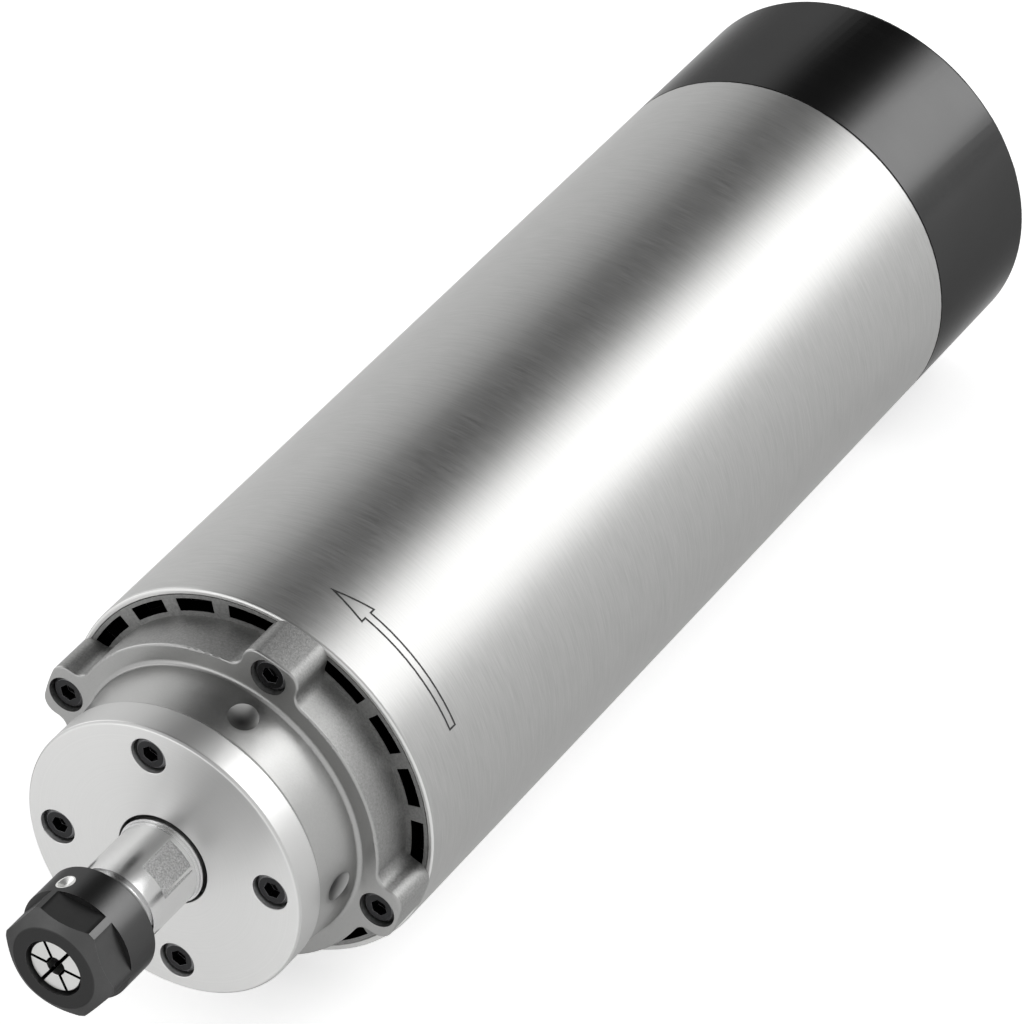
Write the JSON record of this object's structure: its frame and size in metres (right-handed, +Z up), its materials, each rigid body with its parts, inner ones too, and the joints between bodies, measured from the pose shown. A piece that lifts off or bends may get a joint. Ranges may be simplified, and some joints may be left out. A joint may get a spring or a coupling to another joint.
{
  "type": "motor spindle",
  "caption": "Air-cooled cylindrical motor spindle with a spring collet and nut on its nose, for engraving and routing machines.",
  "frame": {"origin": "on the spindle axis, at the middle of the round motor tube that a clamp holds", "axes": "+Y along the spindle axis from the collet nose to the tail, +Z up, +X across"},
  "size_m": [0.065, 0.2521, 0.065],
  "materials": {
    "brushed_tube": "stainless tube brushed round its girth",
    "cast_housing": "fine cast skin, lightly blasted",
    "turned_cover": "fine turned face",
    "extruded_frame": "plain extruded",
    "black_screws": "black oxide",
    "laminations": "stacked sheet edges",
    "copper_windings": "varnished copper wire",
    "cast_rotor_cage": "cast",
    "black_cover": "satin black",
    "plated_connector": "dull nickel plate",
    "connector_plastic": "moulded",
    "contact_brass": "turned pins",
    "lead_insulation": "sleeved",
    "ground_shaft": "ground and polished",
    "collet_steel": "ground spring steel",
    "black_nut": "blackened steel",
    "bearing_steel": "polished",
    "fan_plastic": "moulded",
    "cage_brass": "machined"
  },
  "bodies": {
    "housing": {"motor_tube": "brushed_tube", "front_housing": "cast_housing", "front_housing_screws": "black_screws", "front_bearing_cover": "turned_cover", "front_cover_screws": "black_screws", "front_bearing_a_outer_race": "bearing_steel", "front_bearing_b_outer_race": "bearing_steel", "stator_frame": "extruded_frame", "stator_core": "laminations", "stator_windings": "copper_windings", "rear_bearing_housing": "cast_housing", "rear_housing_screws": "black_screws", "rear_bearing_outer_race": "bearing_steel", "preload_washer": "bearing_steel", "rear_cover": "black_cover", "rear_cover_screws": "black_screws", "connector_shell": "plated_connector", "connector_insert": "connector_plastic", "connector_pins": "contact_brass", "connector_nut": "plated_connector", "motor_leads": "lead_insulation"},
    "spindle": {"spindle_shaft": "ground_shaft", "front_bearing_a_inner_race": "bearing_steel", "front_bearing_b_inner_race": "bearing_steel", "bearing_spacer": "bearing_steel", "bearing_lock_nut": "bearing_steel", "rotor_core": "laminations", "rotor_cage": "cast_rotor_cage", "rear_bearing_inner_race": "bearing_steel", "shaft_circlip": "bearing_steel", "cooling_fan": "fan_plastic", "fan_washer": "bearing_steel", "fan_screw": "black_screws"},
    "front_cage_a": {"front_bearing_a_balls": "bearing_steel", "front_bearing_a_cage": "cage_brass"},
    "front_cage_b": {"front_bearing_b_balls": "bearing_steel", "front_bearing_b_cage": "cage_brass"},
    "rear_cage": {"rear_bearing_balls": "bearing_steel", "rear_bearing_cage": "cage_brass"},
    "collet": {"collet": "collet_steel"},
    "collet_nut": {"collet_nut": "black_nut"}
  },
  "joints": [
    {"name": "spindle_spin", "type": "hinge", "parent": "housing", "child": "spindle", "pos_m": [0, 0, 0], "axis": [0, 1, 0], "continuous": true},
    {"name": "front_cage_a_spin", "type": "hinge", "parent": "housing", "child": "front_cage_a", "pos_m": [0, -0.09315, 0], "axis": [0, 1, 0], "continuous": true},
    {"name": "front_cage_b_spin", "type": "hinge", "parent": "housing", "child": "front_cage_b", "pos_m": [0, -0.08415, 0], "axis": [0, 1, 0], "continuous": true},
    {"name": "rear_cage_spin", "type": "hinge", "parent": "housing", "child": "rear_cage", "pos_m": [0, 0.06335, 0], "axis": [0, 1, 0], "continuous": true},
    {"name": "collet_slide", "type": "slide", "parent": "spindle", "child": "collet", "axis": [0, -1, 0], "range_m": [0, 0.006]},
    {"name": "nut_turn", "type": "hinge", "parent": "collet", "child": "collet_nut", "pos_m": [0, -0.13295, 0], "axis": [0, -1, 0], "range_deg": [0, 2880]}
  ],
  "couplings": [
    {"joint": "front_cage_a_spin", "follows": "spindle_spin", "ratio": 0.40217},
    {"joint": "front_cage_b_spin", "follows": "spindle_spin", "ratio": 0.40217},
    {"joint": "rear_cage_spin", "follows": "spindle_spin", "ratio": 0.381},
    {"joint": "collet_slide", "follows": "nut_turn", "m_per_rad": 0.00011937}
  ]
}
